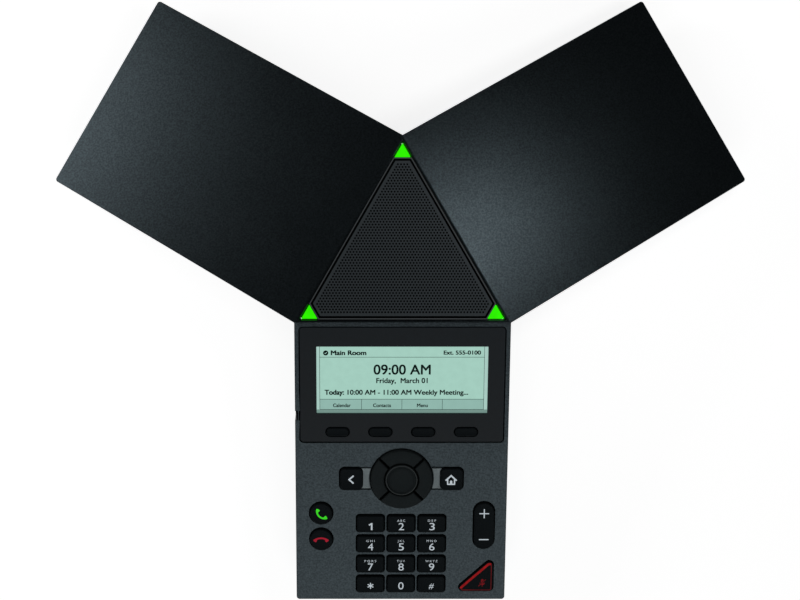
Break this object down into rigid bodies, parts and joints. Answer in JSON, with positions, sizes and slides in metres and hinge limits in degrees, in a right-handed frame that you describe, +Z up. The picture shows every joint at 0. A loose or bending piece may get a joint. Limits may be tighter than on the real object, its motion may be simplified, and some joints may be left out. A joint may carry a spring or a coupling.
{
  "type": "conference speakerphone",
  "caption": "Table-top conference phone: triangular loudspeaker hub with three sloped arms, the front arm holding a display, a dial pad, navigation keys and a mute key.",
  "frame": {"origin": "on the table, under the middle of the bounding box", "axes": "+Z up, the arm with the keys points along -Y, +X to the right of someone using the keys"},
  "size_m": [0.339, 0.294, 0.064],
  "materials": {
    "charcoal_plastic": "fine-grained satin moulding",
    "tray_plastic": "matt moulding",
    "grille_metal": "dark satin paint",
    "status_light": "clear green light pipe",
    "window_acrylic": "gloss",
    "lcd_glass": "lit light green display",
    "tray_white": "matt",
    "trim_plastic": "satin grey",
    "key_plastic": "satin black with white legends",
    "silicone": "matt",
    "circuit_board": "solder mask",
    "socket_shell": "plated",
    "basket_metal": "black paint",
    "magnet_ferrite": "bare ferrite",
    "cone_paper": "pressed paper",
    "foot_rubber": "matt",
    "screw_steel": "plated"
  },
  "bodies": {
    "root": {"top_housing": "charcoal_plastic", "bottom_housing": "tray_plastic", "port_bay": "tray_plastic", "speaker_grille": "grille_metal", "led_lens_rear": "status_light", "led_lens_left": "status_light", "led_lens_right": "status_light", "display_window": "window_acrylic", "lcd_panel": "lcd_glass", "lcd_backlight_tray": "tray_white", "trim_left": "trim_plastic", "trim_right": "trim_plastic", "keypad_membrane": "silicone", "keypad_board": "circuit_board", "main_board": "circuit_board", "ethernet_socket": "socket_shell", "usb_socket": "socket_shell", "speaker_enclosure": "tray_plastic", "speaker_basket": "basket_metal", "speaker_magnet": "magnet_ferrite", "speaker_cone": "cone_paper", "mic_front": "socket_shell", "mic_left": "socket_shell", "mic_right": "socket_shell", "foot_front": "foot_rubber", "foot_left": "foot_rubber", "foot_right": "foot_rubber", "housing_screw_1": "screw_steel", "housing_screw_2": "screw_steel", "housing_screw_3": "screw_steel", "housing_screw_4": "screw_steel", "housing_screw_5": "screw_steel", "housing_screw_6": "screw_steel"},
    "softkey_1_body": {"softkey_1": "key_plastic"},
    "softkey_2_body": {"softkey_2": "key_plastic"},
    "softkey_3_body": {"softkey_3": "key_plastic"},
    "softkey_4_body": {"softkey_4": "key_plastic"},
    "nav_up_body": {"nav_up": "key_plastic"},
    "nav_left_body": {"nav_left": "key_plastic"},
    "nav_down_body": {"nav_down": "key_plastic"},
    "nav_right_body": {"nav_right": "key_plastic"},
    "nav_select_body": {"nav_select": "key_plastic"},
    "key_back_body": {"key_back": "key_plastic"},
    "key_home_body": {"key_home": "key_plastic"},
    "key_call_body": {"key_call": "key_plastic"},
    "key_hangup_body": {"key_hangup": "key_plastic"},
    "key_1_body": {"key_1": "key_plastic"},
    "key_2_body": {"key_2": "key_plastic"},
    "key_3_body": {"key_3": "key_plastic"},
    "key_4_body": {"key_4": "key_plastic"},
    "key_5_body": {"key_5": "key_plastic"},
    "key_6_body": {"key_6": "key_plastic"},
    "key_7_body": {"key_7": "key_plastic"},
    "key_8_body": {"key_8": "key_plastic"},
    "key_9_body": {"key_9": "key_plastic"},
    "key_star_body": {"key_star": "key_plastic"},
    "key_0_body": {"key_0": "key_plastic"},
    "key_hash_body": {"key_hash": "key_plastic"},
    "key_mute_body": {"key_mute": "key_plastic"},
    "volume_rocker_body": {"volume_rocker": "key_plastic"}
  },
  "joints": [
    {"name": "softkey_1_press", "type": "slide", "parent": "root", "child": "softkey_1_body", "axis": [0, 0.2601, -0.9656], "range_m": [0, 0.0008], "stiffness_N_per_m": 1000, "springref_m": -0.0004},
    {"name": "softkey_2_press", "type": "slide", "parent": "root", "child": "softkey_2_body", "axis": [0, 0.2601, -0.9656], "range_m": [0, 0.0008], "stiffness_N_per_m": 1000, "springref_m": -0.0004},
    {"name": "softkey_3_press", "type": "slide", "parent": "root", "child": "softkey_3_body", "axis": [0, 0.2601, -0.9656], "range_m": [0, 0.0008], "stiffness_N_per_m": 1000, "springref_m": -0.0004},
    {"name": "softkey_4_press", "type": "slide", "parent": "root", "child": "softkey_4_body", "axis": [0, 0.2601, -0.9656], "range_m": [0, 0.0008], "stiffness_N_per_m": 1000, "springref_m": -0.0004},
    {"name": "nav_up_press", "type": "slide", "parent": "root", "child": "nav_up_body", "axis": [0, 0.2601, -0.9656], "range_m": [0, 0.0008], "stiffness_N_per_m": 1000, "springref_m": -0.0004},
    {"name": "nav_left_press", "type": "slide", "parent": "root", "child": "nav_left_body", "axis": [0, 0.2601, -0.9656], "range_m": [0, 0.0008], "stiffness_N_per_m": 1000, "springref_m": -0.0004},
    {"name": "nav_down_press", "type": "slide", "parent": "root", "child": "nav_down_body", "axis": [0, 0.2601, -0.9656], "range_m": [0, 0.0008], "stiffness_N_per_m": 1000, "springref_m": -0.0004},
    {"name": "nav_right_press", "type": "slide", "parent": "root", "child": "nav_right_body", "axis": [0, 0.2601, -0.9656], "range_m": [0, 0.0008], "stiffness_N_per_m": 1000, "springref_m": -0.0004},
    {"name": "nav_select_press", "type": "slide", "parent": "root", "child": "nav_select_body", "axis": [0, 0.2601, -0.9656], "range_m": [0, 0.0008], "stiffness_N_per_m": 1000, "springref_m": -0.0004},
    {"name": "key_back_press", "type": "slide", "parent": "root", "child": "key_back_body", "axis": [0, 0.2601, -0.9656], "range_m": [0, 0.0008], "stiffness_N_per_m": 1000, "springref_m": -0.0004},
    {"name": "key_home_press", "type": "slide", "parent": "root", "child": "key_home_body", "axis": [0, 0.2601, -0.9656], "range_m": [0, 0.0008], "stiffness_N_per_m": 1000, "springref_m": -0.0004},
    {"name": "key_call_press", "type": "slide", "parent": "root", "child": "key_call_body", "axis": [0, 0.2601, -0.9656], "range_m": [0, 0.0008], "stiffness_N_per_m": 1000, "springref_m": -0.0004},
    {"name": "key_hangup_press", "type": "slide", "parent": "root", "child": "key_hangup_body", "axis": [0, 0.2601, -0.9656], "range_m": [0, 0.0008], "stiffness_N_per_m": 1000, "springref_m": -0.0004},
    {"name": "key_1_press", "type": "slide", "parent": "root", "child": "key_1_body", "axis": [0, 0.2601, -0.9656], "range_m": [0, 0.0008], "stiffness_N_per_m": 1000, "springref_m": -0.0004},
    {"name": "key_2_press", "type": "slide", "parent": "root", "child": "key_2_body", "axis": [0, 0.2601, -0.9656], "range_m": [0, 0.0008], "stiffness_N_per_m": 1000, "springref_m": -0.0004},
    {"name": "key_3_press", "type": "slide", "parent": "root", "child": "key_3_body", "axis": [0, 0.2601, -0.9656], "range_m": [0, 0.0008], "stiffness_N_per_m": 1000, "springref_m": -0.0004},
    {"name": "key_4_press", "type": "slide", "parent": "root", "child": "key_4_body", "axis": [0, 0.2601, -0.9656], "range_m": [0, 0.0008], "stiffness_N_per_m": 1000, "springref_m": -0.0004},
    {"name": "key_5_press", "type": "slide", "parent": "root", "child": "key_5_body", "axis": [0, 0.2601, -0.9656], "range_m": [0, 0.0008], "stiffness_N_per_m": 1000, "springref_m": -0.0004},
    {"name": "key_6_press", "type": "slide", "parent": "root", "child": "key_6_body", "axis": [0, 0.2601, -0.9656], "range_m": [0, 0.0008], "stiffness_N_per_m": 1000, "springref_m": -0.0004},
    {"name": "key_7_press", "type": "slide", "parent": "root", "child": "key_7_body", "axis": [0, 0.2601, -0.9656], "range_m": [0, 0.0008], "stiffness_N_per_m": 1000, "springref_m": -0.0004},
    {"name": "key_8_press", "type": "slide", "parent": "root", "child": "key_8_body", "axis": [0, 0.2601, -0.9656], "range_m": [0, 0.0008], "stiffness_N_per_m": 1000, "springref_m": -0.0004},
    {"name": "key_9_press", "type": "slide", "parent": "root", "child": "key_9_body", "axis": [0, 0.2601, -0.9656], "range_m": [0, 0.0008], "stiffness_N_per_m": 1000, "springref_m": -0.0004},
    {"name": "key_star_press", "type": "slide", "parent": "root", "child": "key_star_body", "axis": [0, 0.2601, -0.9656], "range_m": [0, 0.0008], "stiffness_N_per_m": 1000, "springref_m": -0.0004},
    {"name": "key_0_press", "type": "slide", "parent": "root", "child": "key_0_body", "axis": [0, 0.2601, -0.9656], "range_m": [0, 0.0008], "stiffness_N_per_m": 1000, "springref_m": -0.0004},
    {"name": "key_hash_press", "type": "slide", "parent": "root", "child": "key_hash_body", "axis": [0, 0.2601, -0.9656], "range_m": [0, 0.0008], "stiffness_N_per_m": 1000, "springref_m": -0.0004},
    {"name": "key_mute_press", "type": "slide", "parent": "root", "child": "key_mute_body", "axis": [0, 0.2601, -0.9656], "range_m": [0, 0.0008], "stiffness_N_per_m": 1000, "springref_m": -0.0004},
    {"name": "volume_rocker_tilt", "type": "hinge", "parent": "root", "child": "volume_rocker_body", "pos_m": [0.0402, -0.10798, 0.03351], "axis": [1, 0, 0], "range_deg": [-2, 2], "stiffness_Nm_per_rad": 0.2}
  ]
}
